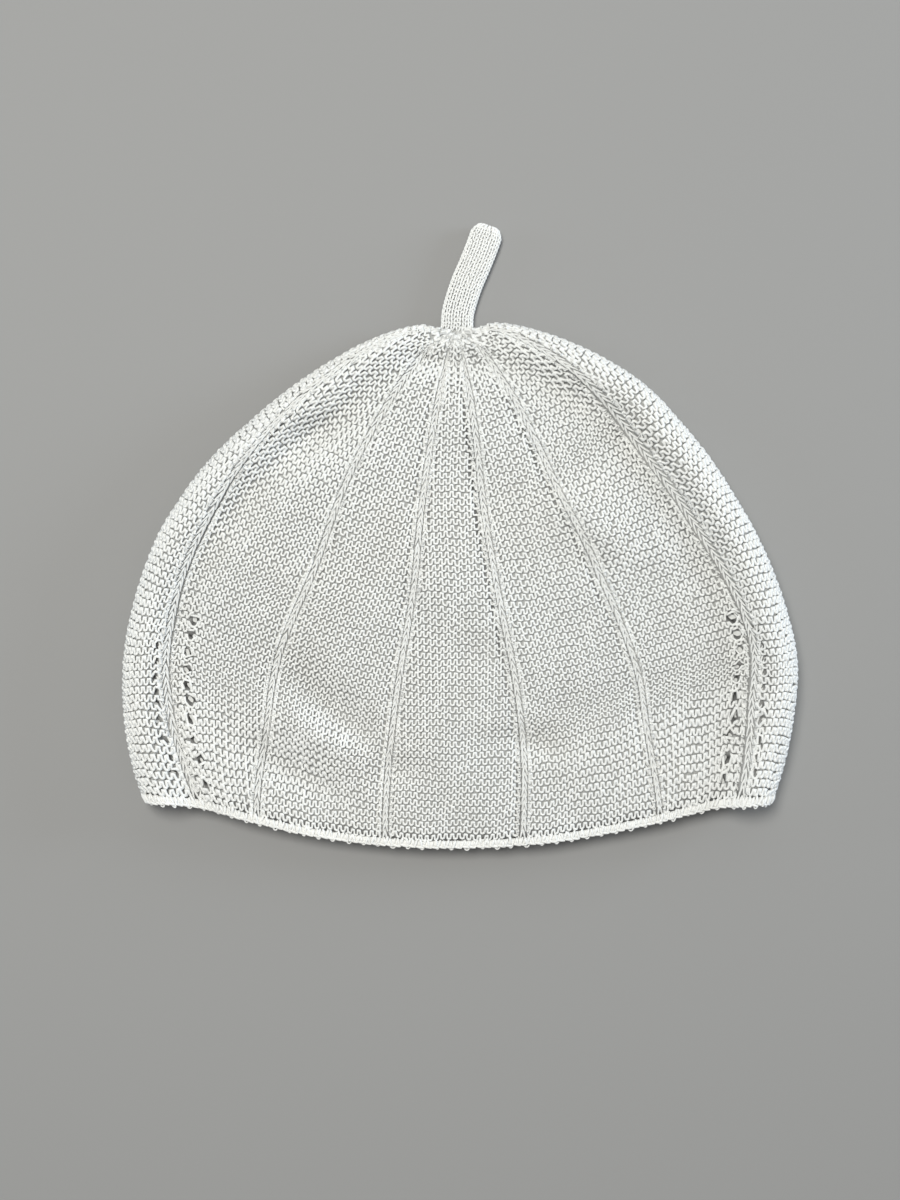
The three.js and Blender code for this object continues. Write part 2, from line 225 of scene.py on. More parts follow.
# Columns of eyelets beside the side ribs: away from the rib in millimetres at the first and the last,
# where they start and end, how many ridges apart they are, and the radius of each
EYELETS = table(
    ("rib", "away_first", "away_last", "first", "last", "every", "radius"),
    (0, 7.8, 6.6, 0.69, 0.965, 2.3, 0.95),
    (5, -3.8, -7.6, 0.69, 0.965, 2.3, 0.95),
    (0, -2.9, -3.6, 0.72, 0.96, 2, 0.7),
    (5, 2.9, 3.6, 0.72, 0.96, 2, 0.7),
)

# Middle line of the stem: along and lean are shares of its length
STEM_LINE = table(
    ("along", "lean"),
    (0, 0.01), (0.14, 0.02), (0.41, 0.1), (0.6, 0.18), (0.8, 0.26), (1, 0.33),
)


def length_property(name, description, default):
    return FloatProperty(name=name, description=description, default=default, unit="LENGTH")


def colour_property(name, description, default):
    return FloatVectorProperty(name=name, description=description, default=default,
                               subtype="COLOR", size=3)


class NightcapSizes(bpy.types.PropertyGroup):
    """Sizes of the lying cap and of its stitches."""

    half_width: length_property("Half width", "Half the width of the lying cap", 0.1248)
    length: length_property("Length", "Crown to the middle of the rim", 0.193)
    back_shorter: length_property("Back shorter by", "How much earlier the layer underneath ends", 0.004)
    lying_height: length_property("Lying height", "Height of the front layer's middle", 0.014)
    left_roll: length_property("Left roll", "Radius of the rolled left side", 0.009)
    right_roll: length_property("Right roll", "Radius of the rolled right side", 0.0098)
    wall: length_property("Wall", "Thickness of the knitted wall", 0.0026)
    stitch: length_property("Stitch width", "Width of one garter stitch", 0.00245)
    yarn: length_property("Yarn radius", "Radius of the yarn at the head of a stitch", 0.00057)
    rib_width: length_property("Rib width", "Width of a rib of two knit wales", 0.0055)
    ridges: IntProperty(
        name="Ridges", description="Garter ridges from the crown to the rim", default=76)
    gores: IntProperty(name="Gores", description="Gores round the cap", default=12)


class NightcapColours(bpy.types.PropertyGroup):
    """Colours of the cotton and of the floor."""

    cotton: colour_property("Cotton", "Colour of the cap's yarn", (0.84, 0.842, 0.825))
    edge: colour_property("Edge", "Colour of the edge band's yarn", (0.86, 0.86, 0.842))
    floor: colour_property("Floor", "Colour of the plain floor", (0.27, 0.267, 0.26))


def mix(a, b, share):
    return a + (b - a) * share


def smooth(value):
    v = np.clip(value, 0, 1)
    return v * v * (3 - 2 * v)


def rounded(value, power):
    """A sine or cosine, fuller for a power under 1."""
    return np.sign(value) * np.abs(value)**power


def read(rows, column, along):
    """Value of a table's column at a share of the way, on a smooth curve through its rows."""
    at, value = rows["along"], rows[column]
    last = len(at) - 1
    low = np.maximum(np.arange(last + 1) - 1, 0)
    high = np.minimum(np.arange(last + 1) + 1, last)
    slope = (value[high] - value[low]) / (at[high] - at[low])
    i = int(np.clip(np.searchsorted(at, along) - 1, 0, last - 1))
    span = at[i + 1] - at[i]
    t = min(max((along - at[i]) / span, 0), 1)
    rise = value[i + 1] - value[i]
    start_pull = slope[i] * span - rise
    end_pull = rise - slope[i + 1] * span
    return value[i] + t * rise + t * (1 - t) * ((1 - t) * start_pull + t * end_pull)


def unit(vectors):
    return vectors / np.maximum(np.linalg.norm(vectors, axis=-1, keepdims=True), 1e-12)


def run_lengths(points):
    """Distance along a line of points, from its first."""
    steps = np.linalg.norm(np.diff(points, axis=0), axis=1)
    return np.concatenate([[0], np.cumsum(steps)])


def along_line(points, share):
    """Points of a finely drawn line, at shares of its length."""
    run = run_lengths(points)
    at = np.asarray(share) * run[-1]
    return np.stack([np.interp(at, run, points[:, k]) for k in range(points.shape[1])], axis=-1)


def rounded_line(points, steps=60):
    """A smooth line through points, even where their spacing isn't."""
    points = np.asarray(points, float)
    first = 2 * points[0] - points[1]
    last = 2 * points[-1] - points[-2]
    ends = np.vstack([first, points, last])
    drawn = []
    for k in range(len(points) - 1):
        p0, p1, p2, p3 = ends[k:k + 4]
        d0, d1, d2 = (math.sqrt(np.linalg.norm(b - a)) for a, b in ((p0, p1), (p1, p2), (p2, p3)))
        t1 = ((p1 - p0) / d0 - (p2 - p0) / (d0 + d1) + (p2 - p1) / d1) * d1
        t2 = ((p2 - p1) / d1 - (p3 - p1) / (d1 + d2) + (p3 - p2) / d2) * d1
        t = np.linspace(0, 1, steps, endpoint=False)[:, None]
        drawn.append(p1 + t * t1 + t**2 * (-3 * p1 + 3 * p2 - 2 * t1 - t2)
                     + t**3 * (2 * p1 - 2 * p2 + t1 + t2))
    return np.vstack([*drawn, points[-1:]])


class Edge:
    """Outline of one rolled side, from the crown to the corner of the rim."""

    def __init__(self, sizes, rows, side, roll, valley):
        half, length = sizes.half_width, sizes.length
        places = [(CROWN[0] * half, CROWN[1] * length)]
        places += [(side * out * half, up * length) for out, up in zip(rows["out"], rows["up"])]
        self.line = rounded_line(places)
        self.side, self.roll, self.valley = side, roll, valley

    def at(self, along):
        near = along_line(self.line, np.clip([along - 0.002, along, along + 0.002], 0, 1))
        return near[1], unit(near[2] - near[0])


class QuarterRow:
    """A row of stitches from the middle of a layer to the rolled side, and round half of the roll."""

    def __init__(self, sizes, edge, along, is_back):
        outer, direction = edge.at(along)
        to_rim = float(smooth((along - RIM_ROWS_START) / (1 - RIM_ROWS_START)))
        inward = edge.side * np.array([direction[1], -direction[0]])
        self.inward = unit(mix(inward, np.array([-edge.side, 0.0]), to_rim))
        reach = along * sizes.length
        self.radius = max(edge.roll * (1 - math.exp(-0.42 * reach / edge.roll)), NEARLY_NOTHING)
        self.roll_middle = outer + self.inward * self.radius
        crown = np.array(CROWN) * (sizes.half_width, sizes.length)
        rim = np.array(RIM_MIDDLE) * (sizes.half_width, sizes.length)
        layer = sizes.length - (sizes.back_shorter if is_back else 0)
        middle = mix(crown, rim, along * layer / sizes.length)
        spread = np.linalg.norm(middle - self.roll_middle)
        from_middle = middle + np.array([edge.side * spread * mix(0.42, 0.55, to_rim), 0])
        from_roll = self.roll_middle + self.inward * spread * mix(0.3, 0.15, to_rim)
        t = np.linspace(0, 1, 201)[:, None]
        self.row = ((1 - t)**3 * middle + 3 * (1 - t)**2 * t * from_middle
                    + 3 * (1 - t) * t**2 * from_roll + t**3 * self.roll_middle)
        self.flat = max(run_lengths(self.row)[-1], NEARLY_NOTHING)
        self.length = self.flat + self.radius * math.pi / 2


class KnittedWall:
    """Outer face of the lying cap, found by along, the share of the way from the crown to the rim,
    and gore, the place round the ring: rib k is at k, and the folds are at 5.5 and 11.5."""

    ROWS = 321
    STEPS = 48

    def __init__(self, sizes):
        self.sizes = sizes
        self.edges = {
            -1: Edge(sizes, LEFT_EDGE, -1, sizes.left_roll, "left_valley"),
            1: Edge(sizes, RIGHT_EDGE, 1, sizes.right_roll, "right_valley"),
        }
        self.columns = sizes.gores * self.STEPS
        self.points = np.stack([self.ring(along) for along in np.linspace(0, 1, self.ROWS)])
        low = self.points.reshape(-1, 3).min(0)
        self.points += np.array([BODY_LOW.x - low[0], 0, 0])
        self.points[:, :, 1] += BODY_HIGH.y - self.points[:, :, 1].max()
        steps = np.linalg.norm(np.diff(self.points, axis=1), axis=2)
        run = np.concatenate([np.zeros((self.ROWS, 1)), np.cumsum(steps, axis=1)], axis=1)
        self.widths = np.diff(run[:, ::self.STEPS], axis=1)
        self.soften()
        self.groove(run)
        down = np.gradient(self.points, axis=0)
        wrapped = np.concatenate([self.points[:, -2:-1], self.points, self.points[:, 1:2]], axis=1)
        round_ring = (wrapped[:, 2:] - wrapped[:, :-2]) / 2
        self.normals = unit(np.cross(down, round_ring))

    def soften(self):
        """Low waves of the front layer, which is only as even as a soft knit lies."""
        x, y, z = np.moveaxis(self.points, -1, 0)
        waves = np.zeros_like(x)
        draw = np.random.default_rng(11)
        for length in (0.055, 0.038, 0.027, 0.02):
            heading, phase = draw.uniform(0, 2 * np.pi, 2)
            place = (x * math.cos(heading) + y * math.sin(heading)) / length
            waves += 0.16 * MM * (length / 0.03) * np.sin(2 * np.pi * place + phase)
        above = smooth((z - 0.6 * self.sizes.lying_height) / (0.3 * self.sizes.lying_height))
        self.points[:, :, 2] += waves * above

    def groove(self, run):
        """Narrow folds beside the ribs of the front."""
        rows = np.linspace(0, 1, self.ROWS)[:, None]
        for rib, left, right in zip(*FLANKS.values()):
            away = run - run[:, int(rib) * self.STEPS][:, None]
            for side, deep in ((-1, left), (1, right)):
                place = (away * side - 0.5 * self.sizes.rib_width) / (0.95 * MM)
                self.points[:, :, 2] -= deep * MM * np.exp(-place**2) * smooth(rows / 0.25)

    def stretched(self, along):
        """Angles of the ring's columns from the front's middle, once the front is stretched."""
        gore = np.arange(self.columns + 1) / self.STEPS
        angle = (360 / self.sizes.gores) * (gore + 0.5) - 90
        turned = np.mod(angle + 180, 360) - 180
        left = [-read(FRONT_STRETCH, f"left{place}", along) for place in STRETCH_PLACES]
        right = [read(FRONT_STRETCH, f"right{place}", along) for place in STRETCH_PLACES[::-1]]
        stops = [-90, *(-place for place in STRETCH_PLACES), *STRETCH_PLACES[::-1], 90]
        moved = np.interp(turned, stops, [-90, *left, *right, 90])
        return np.where(np.abs(turned) > 90, turned, moved)

    def ring(self, along):
        """Points of one ring of the wall."""
        turned = self.stretched(along)
        is_left = turned < 0
        is_back = np.abs(turned) > 90
        places = np.zeros((len(turned), 3))
        for side, edge in self.edges.items():
            for back in (False, True):
                chosen = (is_left == (side < 0)) & (is_back == back)
                quarter = QuarterRow(self.sizes, edge, along, back)
                share = np.abs(turned[chosen]) / 90
                share = 2 - share if back else share
                places[chosen] = self.quarter_points(quarter, edge, along, share * quarter.length, back)
        lift = CROWN_LIFT * (1 - float(smooth(along / HOLLOW_START)))
        return places + np.array([0, 0, lift])

    def quarter_points(self, quarter, edge, along, distance, is_back):
        plan = along_line(quarter.row, np.minimum(distance / quarter.flat, 1))
        turn = np.maximum(distance - quarter.flat, 0) / quarter.radius
        plan = plan - quarter.radius * np.sin(turn)[:, None] * quarter.inward
        rolled = quarter.radius * (1 - np.cos(turn) if is_back else 1 + np.cos(turn))
        if is_back:
            height = np.where(turn > 0, rolled, 0)
        else:
            height = np.where(turn > 0, rolled, self.front_height(quarter, edge, along, distance, plan))
        return np.column_stack([plan, height])

    def front_height(self, quarter, edge, along, distance, plan):
        lying = self.sizes.lying_height
        middle = lying * read(HEIGHTS, "middle", along)
        slope = min(SLOPE_WIDTH, quarter.flat)
        to_crest = quarter.flat - distance
        rise = smooth(1 - to_crest / slope)
        valley_place = (to_crest - slope) / min(VALLEY_WIDTH, quarter.flat)
        valley = lying * read(HEIGHTS, edge.valley, along) * np.exp(-valley_place**2)
        dent = (self.depth(DENTS, plan) + self.depth(CREASES, plan)) * float(smooth(along / DENTS_START))
        return mix(middle, 2 * quarter.radius, rise) - (valley + dent) * (1 - rise)

    def depth(self, rows, plan):
        """How deep the dents or creases of a table lie at places of the plan."""
        depth = np.zeros(len(plan))
        half = self.sizes.half_width
        for across, up, long, wide, turn, deep in zip(*rows.values()):
            away = plan - (across * half, up * self.sizes.length)
            c, s = math.cos(math.radians(turn)), math.sin(math.radians(turn))
            u = (away[:, 0] * c + away[:, 1] * s) / (long * half)
            v = (away[:, 1] * c - away[:, 0] * s) / (wide * half)
            depth += DENT_DEPTH * deep * self.sizes.lying_height * np.exp(-u**2 - v**2)
        return depth

    def width(self, gore, along):
        """Width of a gore at shares of the way down."""
        rows = np.linspace(0, 1, self.ROWS)
        return np.interp(along, rows, self.widths[:, gore % self.sizes.gores])

    def place(self, along, gore, lift):
        """Points that stand a lift out of the outer face, and the face's normals there. What lies
        on the floor is pressed flat, so nothing stands out of the face below."""
        i = np.clip(along, 0, 1) * (self.ROWS - 1)
        j = np.mod(gore, self.sizes.gores) * self.STEPS
        i0 = np.minimum(i.astype(int), self.ROWS - 2)
        j0 = np.minimum(j.astype(int), self.columns - 1)
        a = (i - i0)[:, None]
        b = (j - j0)[:, None]
        found = []
        for field in (self.points, self.normals):
            upper = mix(field[i0, j0], field[i0, j0 + 1], b)
            lower = mix(field[i0 + 1, j0], field[i0 + 1, j0 + 1], b)
            found.append(mix(upper, lower, a))
        point, normal = found[0], unit(found[1])
        facing = smooth((normal[:, 2] + 0.9) / 0.5)
        lift = np.where(lift > 0, lift * facing, lift)
        return point + lift[:, None] * normal, normal


def strands_mesh(name, strands, sides, material, rows):
    """One mesh of closed yarns. A strand is (points, normals, radii), and a yarn that would sink into
    the floor lies on it. Every yarn has a strip of its own on the UV map, with its sides laid out
    beside each other."""
    count = np.array([len(s[0]) for s in strands])
    start = np.concatenate([[0], np.cumsum(count)[:-1]])
    centres = np.vstack([s[0] for s in strands])
    centres[:, 2] = np.maximum(centres[:, 2], np.concatenate([s[2] for s in strands]))
    normals = np.vstack([s[1] for s in strands])
    radii = np.concatenate([s[2] for s in strands])
    index = np.arange(len(centres))
    is_first = np.isin(index, start)
    is_last = np.isin(index, start + count - 1)
    before = np.where(is_first, index, index - 1)
    after = np.where(is_last, index, index + 1)
    forward = unit(centres[after] - centres[before])
    across = unit(np.cross(forward, normals))
    upward = np.cross(across, forward)
    turn = 2 * np.pi * (np.arange(sides) + 0.5) / sides
    section = (np.cos(turn)[None, :, None] * across[:, None]
               + np.sin(turn)[None, :, None] * upward[:, None])
    rings = centres[:, None] + radii[:, None, None] * section
    strand_of = np.repeat(np.arange(len(strands)), count)
    step = np.where(is_first, 0, np.linalg.norm(centres - centres[before], axis=1))
    run = np.cumsum(step) - np.cumsum(step)[start][strand_of]
    cells = max(1, math.ceil(len(strands) / rows))
    longest = run.max() * 1.04 + 1e-9
    u = (strand_of // rows + 0.01 + 0.98 * (run + 0.02 * longest) / longest) / cells
    v0 = (strand_of % rows) / rows
    k = index[~is_last][:, None]
    j = np.arange(sides)[None, :]
    beside = (j + 1) % sides
    near, far = k * sides, (k + 1) * sides
    quads = np.stack([near + j, near + beside, far + beside, far + j], axis=-1)
    strip = 0.9 / rows / sides
    low = v0[k] + 0.05 / rows + j * strip
    ones = np.ones_like(low)
    quad_uv = np.stack([
        np.stack([u[k] * ones, low], -1), np.stack([u[k] * ones, low + strip], -1),
        np.stack([u[k + 1] * ones, low + strip], -1), np.stack([u[k + 1] * ones, low], -1)], axis=-2)
    ends, end_uv = [], []
    for chosen, outward in ((is_first, -1), (is_last, 1)):
        k = index[chosen][:, None]
        order = np.arange(sides)[None, :][:, ::-outward]
        ends.append(k * sides + order)
        middle = v0[k] + 0.5 / rows
        end_uv.append(np.stack([u[k] + outward * 0.008 / cells * (1 + np.cos(turn[order])) / 2,
                                middle + 0.4 / rows * np.sin(turn[order])], axis=-1))
    faces = [quads.reshape(-1, 4), *ends]
    uvs = [quad_uv.reshape(-1, 2), *(e.reshape(-1, 2) for e in end_uv)]
    return faces_mesh(name, rings.reshape(-1, 3), faces, np.vstack(uvs), material)


def faces_mesh(name, points, faces, uvs, material):
    """A smooth mesh object in the shared frame from arrays of faces with equal numbers of corners."""
    mesh = bpy.data.meshes.new(name)
    mesh.vertices.add(len(points))
    mesh.vertices.foreach_set("co", np.ascontiguousarray(points, np.float32).ravel())
    corners = np.concatenate([f.ravel() for f in faces]).astype(np.int32)
    corner_counts = np.concatenate([np.full(len(f), f.shape[1]) for f in faces])
    starts = np.concatenate([[0], np.cumsum(corner_counts)[:-1]]).astype(np.int32)
    mesh.loops.add(len(corners))
    mesh.loops.foreach_set("vertex_index", corners)
    mesh.polygons.add(len(starts))
    mesh.polygons.foreach_set("loop_start", starts)
    layer = mesh.uv_layers.new(name="OFBake")
    layer.data.foreach_set("uv", np.ascontiguousarray(uvs, np.float32).ravel())
    mesh.update(calc_edges=True)
    mesh.polygons.foreach_set("use_smooth", np.ones(len(starts), bool))
    mesh.materials.append(material)
    piece = bpy.data.objects.new(name, mesh)
    bpy.context.collection.objects.link(piece)
    return piece


def loop_faces(loops, columns, map_rows, joined=False):
    """Faces between neighbouring loops of points, and their places on a map of so many rows. Joined,
    the last loop meets the first."""
    k = np.arange(loops if joined else loops - 1)[:, None]
    j = np.arange(columns)[None, :]
    here, below = k * columns, (k + 1) % loops * columns
    beside = (j + 1) % columns
    quads = np.stack([here + j, below + j, below + beside, here + beside], -1)
    u = np.stack([j + 0 * k, j + 0 * k, j + 1 + 0 * k, j + 1 + 0 * k], -1) / columns
    v = np.stack([k + 0 * j, k + 1 + 0 * j, k + 1 + 0 * j, k + 0 * j], -1) / map_rows
    return quads.reshape(-1, 4), np.stack([u, v], -1).reshape(-1, 4, 2)


def pole_faces(loops, columns):
    """Triangles that close the first and the last loop round two poles, the last two points."""
    j = np.arange(columns)
    beside = (j + 1) % columns
    last = (loops - 1) * columns
    pole = loops * columns
    start = np.column_stack([np.full(columns, pole), j, beside])
    end = np.column_stack([np.full(columns, pole + 1), last + beside, last + j])
    return start, end


def pole_map(columns, pole_v, loop_v):
    """Places on the map of the triangles round a pole."""
    j = np.arange(columns)
    corners = ((j + 0.5, pole_v), (j, loop_v), (j + 1, loop_v))
    return np.stack([np.column_stack([u / columns, np.full(columns, v)]) for u, v in corners], 1)


def turned_over(corners):
    """Corners of faces, or their places on the map, the other way round from the same first one."""
    return np.roll(corners[:, ::-1], 1, axis=1)


def finish_piece(piece, node):
    """Hang a piece on the cap's one body, and hide the solid it stands for."""
    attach(piece, "root")
    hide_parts(node)


def cotton(name, colour, shade, grain):
    """Matte cotton yarn: warm and cool whites, fine fibres and a soft sheen."""
    material = bpy.data.materials.get(name)
    if material:
        return material
    material = bpy.data.materials.new(name)
    material.use_nodes = True
    nodes, links = material.node_tree.nodes, material.node_tree.links
    shader = nodes["Principled BSDF"]
    place = nodes.new("ShaderNodeTexCoord")
    patches = nodes.new("ShaderNodeTexNoise")
    patches.inputs["Scale"].default_value = 22
    patches.inputs["Detail"].default_value = 3
    ramp = nodes.new("ShaderNodeValToRGB")
    warm = np.array(colour) * shade * (1.0, 0.995, 0.98)
    cool = np.array(colour) * shade * (0.992, 0.995, 0.99)
    ramp.color_ramp.elements[0].position = 0.35
    ramp.color_ramp.elements[0].color = (*warm, 1)
    ramp.color_ramp.elements[1].position = 0.65
    ramp.color_ramp.elements[1].color = (*cool, 1)
    fibres = nodes.new("ShaderNodeTexNoise")
    fibres.inputs["Scale"].default_value = grain
    fibres.inputs["Detail"].default_value = 2
    darker = nodes.new("ShaderNodeMixRGB")
    darker.blend_type = "MULTIPLY"
    darker.inputs["Fac"].default_value = 0.16
    bump = nodes.new("ShaderNodeBump")
    bump.inputs["Strength"].default_value = 0.35
    bump.inputs["Distance"].default_value = 0.0001
    links.new(place.outputs["Object"], patches.inputs["Vector"])
    links.new(place.outputs["Object"], fibres.inputs["Vector"])
    links.new(patches.outputs["Fac"], ramp.inputs["Fac"])
    links.new(ramp.outputs["Color"], darker.inputs["Color1"])
    links.new(fibres.outputs["Fac"], darker.inputs["Color2"])
    links.new(darker.outputs["Color"], shader.inputs["Base Color"])
    links.new(fibres.outputs["Fac"], bump.inputs["Height"])
    links.new(bump.outputs["Normal"], shader.inputs["Normal"])
    shader.inputs["Roughness"].default_value = 0.9
    shader.inputs["Specular IOR Level"].default_value = 0.25
    shader.inputs["Sheen Weight"].default_value = 0.12
    shader.inputs["Sheen Roughness"].default_value = 0.5
    return material


def shaded_ground(sizes, colour):
    """Cotton with painted shade: darker on its outer face, for the shade between the stitches, and darkest
    in the painted shade of holes, of the grooves beside the ribs and above the edge band.
    """
    material = cotton("cotton_ground", colour, shade=0.88, grain=GROUND_GRAIN)
    nodes, links = material.node_tree.nodes, material.node_tree.links
    if nodes.get("Side of the knit"):
        return material
    # Painted shade between the stitches: only the outer face, the first share of the map's rows, is
    # darkened
    place = nodes.new("ShaderNodeUVMap")
    place.uv_map = "OFBake"
    parts = nodes.new("ShaderNodeSeparateXYZ")
    side = nodes.new("ShaderNodeMath")
    side.name = "Side of the knit"
    side.operation = "LESS_THAN"
    inner_rings = 2 * np.count_nonzero(ridge_places(sizes) > HOLLOW_START)
    side.inputs[1].default_value = GROUND_RINGS / (GROUND_RINGS + inner_rings)
    shade = nodes.new("ShaderNodeMixRGB")
    shade.blend_type = "MULTIPLY"
    shade.inputs["Color2"].default_value = (GROUND_SHADE, GROUND_SHADE, GROUND_SHADE, 1)
    shader = nodes["Principled BSDF"]
    plain = shader.inputs["Base Color"].links[0].from_socket
    # Painted shade of the holes, the grooves and the row above the edge band, read from the ground's
    # attribute
    holes = nodes.new("ShaderNodeAttribute")
    holes.attribute_name = "painted_shade"
    hole = nodes.new("ShaderNodeMixRGB")
    hole.blend_type = "MULTIPLY"
    hole.inputs["Color2"].default_value = (HOLE_SHADE, HOLE_SHADE, HOLE_SHADE, 1)
    links.new(holes.outputs["Fac"], hole.inputs["Fac"])
    links.new(shade.outputs["Color"], hole.inputs["Color1"])
    links.new(place.outputs["UV"], parts.inputs["Vector"])
    links.new(parts.outputs["Y"], side.inputs[0])
    links.new(side.outputs["Value"], shade.inputs["Fac"])
    links.new(plain, shade.inputs["Color1"])
    links.new(hole.outputs["Color"], shader.inputs["Base Color"])
    return material


def ridge_places(sizes):
    """Shares of the way down at which the garter ridges lie."""
    return mix(FIRST_RIDGE, LAST_RIDGE, np.arange(sizes.ridges) / (sizes.ridges - 1))


def wavy(along, gore):
    """How far a ridge strays from its place, in ridges."""
    return (0.16 * np.sin(2 * np.pi * (gore * 2.3 + along * 3.1))
            + 0.06 * np.sin(2 * np.pi * (gore * 5.7 - along * 5.3) + 1.3))


def rib_half_width(sizes, width):
    """Half the width of a rib, which is narrower where its gore is."""
    return np.minimum(sizes.rib_width, 0.38 * width) / 2


def stitch_width(sizes, along):
    """Width of a stitch, a little less towards the rim."""
    return sizes.stitch * mix(1.03, 0.98, smooth((along - 0.4) / 0.4))


def eyelet_places(wall):
    """Where each eyelet lies, along and in gores, and its radius."""
    ridge = np.diff(ridge_places(wall.sizes))[0]
    draw = np.random.default_rng(4)
    places = []
    for rib, away_first, away_last, first, last, every, radius in zip(*EYELETS.values()):
        for along in np.arange(first, last, every * ridge):
            away = mix(away_first, away_last, (along - first) / (last - first)) + draw.normal(0, 0.35)
            gore = int(rib) if away > 0 else int(rib) - 1
            width = float(wall.width(gore, along))
            places.append((along + draw.normal(0, 0.15) * ridge, rib + away * MM / width,
                           radius * draw.uniform(0.8, 1.15) * MM))
    return places


def pushed_aside(wall, gore, down, at, eyelets):
    """Stitches beside an eyelet make room for it."""
    way = wall.sizes.length * WAY_DOWN
    for along, place, radius in eyelets:
        if not gore - 0.2 < np.mod(place + 0.01, wall.sizes.gores) < gore + 1.2:
            continue
        away = np.stack([(at - np.mod(place, wall.sizes.gores)) * wall.width(gore, along),
                         (down - along) * way], axis=-1)
        distance = np.linalg.norm(away, axis=-1)
        push = EYELET_PUSH * radius * np.exp(-(distance / (EYELET_REACH * radius))**2)
        moved = away / np.maximum(distance, 0.05 * MM)[..., None] * push[..., None]
        at = at + moved[..., 0] / wall.width(gore, along)
        down = down + moved[..., 1] / way
    return down, at


def garter_strands(wall, gore, lighter, eyelets, draw):
    """Yarns of one gore, one to a ridge: heads towards the crown, and links between them, half a
    stitch aside."""
    sizes = wall.sizes
    places = ridge_places(sizes)
    ridge = places[1] - places[0]
    keep = np.array([0, 2, 3, 4, 6]) if lighter else np.arange(len(STITCH["across"]))
    last_rib = len(FLANKS["rib"]) - 1
    free_left = GROOVE_SHARE * FLANKS["right"][gore] * MM if gore <= last_rib else 0
    free_right = GROOVE_SHARE * FLANKS["left"][gore + 1] * MM if gore < last_rib else 0
    strands = []
    for along in places:
        width = float(wall.width(gore, along))
        half = width / 2 - RIB_SHARE * float(rib_half_width(sizes, width))
        stitch = float(stitch_width(sizes, along))
        reach = int(half / stitch) + 1
        number = np.repeat(np.arange(-reach, reach), len(keep))
        shape = {name: np.tile(column[keep], 2 * reach) for name, column in STITCH.items()}
        head = np.where(shape["across"] > 0.5, number + 1, number) + reach
        shift = draw.normal(0, 0.04, 2 * reach + 1)[head]
        rise = draw.normal(0, 0.05, 2 * reach + 1)[head]
        fat = 1 + draw.normal(0, 0.05, 2 * reach + 1)[head]
        across = (number + shape["across"] + shift * (shape["up"] > 0)) * stitch
        first, last = free_left - half, half - free_right
        inside = (across > first - 0.45 * stitch) & (across < last + 0.45 * stitch)
        if inside.sum() < 3:
            continue
        across = np.clip(across[inside], first, last)
        at = gore + 0.5 + across / width
        down = along + ridge * (wavy(along, at) - shape["up"][inside] + shift[inside])
        above, below = (wall.place(down + side * ridge, at, 0 * at)[0] for side in (-0.5, 0.5))
        room = np.clip(np.linalg.norm(below - above, axis=1) / RIDGE_HEIGHT, 0.85, 1.4)
        down, at = pushed_aside(wall, gore, down, at, eyelets)
        lift = MM * (shape["lift"][inside] + rise[inside] * (shape["up"][inside] > 0))
        radii = sizes.yarn * (stitch / sizes.stitch) * room * (shape["thick"] * fat)[inside]
        strands.append((*wall.place(down, at, lift), radii))
    return strands


def rib_strands(wall, rib, draw):
    """Knit stitches of one rib: two wales of V-shaped stitches whose points are towards the rim."""
    sizes = wall.sizes
    places = ridge_places(sizes)
    ridge = places[1] - places[0]
    t = np.linspace(0, 1, 5)
    strands = []
    for along in places:
        width = 0.5 * float(wall.width(rib, along) + wall.width(rib - 1, along))
        half = float(rib_half_width(sizes, width))
        for wale in (-1, 1):
            for leg in (-1, 1):
                near, far = wale * half / 2 + leg * 0.12 * half, wale * half / 2 + leg * 0.5 * half
                across = mix(near, far, t) + draw.normal(0, 0.09) * MM
                down = along + ridge * (0.7 - 1.5 * t + draw.normal(0, 0.08))
                gore_width = np.where(across > 0, wall.width(rib, along), wall.width(rib - 1, along))
                bow = np.sin(np.pi * np.clip(t * 0.92 + 0.04, 0, 1))
                lift = MM * (-1.3 + 0.55 * bow + draw.normal(0, 0.07))
                radii = sizes.yarn * (0.4 + 0.38 * bow) * min(1, half / (0.42 * sizes.rib_width))
                strands.append((*wall.place(down, rib + across / gore_width, lift), radii))
    return strands


def crown_strands(wall, draw):
    """Gathered yarns that close the crown under the stem, parted by a small slit in front."""
    strands = []
    t = np.linspace(0, 1, 6)
    gore = np.linspace(0, wall.sizes.gores, FINE)
    ring = wall.place(np.full(FINE, 0.03), gore, np.zeros(FINE))[0]
    run = run_lengths(ring)
    for k in range(GATHERS):
        at = float(np.interp((k + 0.5 + draw.normal(0, 0.12)) / GATHERS * run[-1], run, gore))
        reach = draw.uniform(0.014, 0.034)
        if abs(at - SLIT_GORE) < 0.1:
            reach = 0.008
        along = mix(0.002, reach, t)
        bow = np.sin(np.pi * mix(0.15, 0.9, t))
        sway = mix(0, draw.normal(0, 0.25), t) + 0.05 * np.sin(9 * t + draw.uniform(0, 6))
        lift = MM * (-0.8 + 0.5 * bow + draw.normal(0, 0.12))
        strands.append((*wall.place(along, at + sway, lift), GATHER_YARN * (0.5 + 0.5 * bow)))
    return strands


def painted_ground_shade(wall, along, gore):
    """How much painted shade the ground's outer face gets in the grooves beside the ribs and above the
    edge band.
    """
    along = along[:, None]
    painted_shade = 0.4 * smooth((along - 0.965) / 0.012) * np.ones_like(gore)
    for rib, left, right in zip(*FLANKS.values()):
        for side, deep in ((-1, left), (1, right)):
            width = wall.width(int(rib) + (side - 1) // 2, along)
            place = ((gore - rib) * side * width - 0.48 * wall.sizes.rib_width) / (1.1 * MM)
            painted_shade = np.maximum(painted_shade, min(1, 0.8 * deep) * np.exp(-place**2) * smooth(along / 0.25))
    painted_shade[GROUND_RINGS:] = 0
    return painted_shade


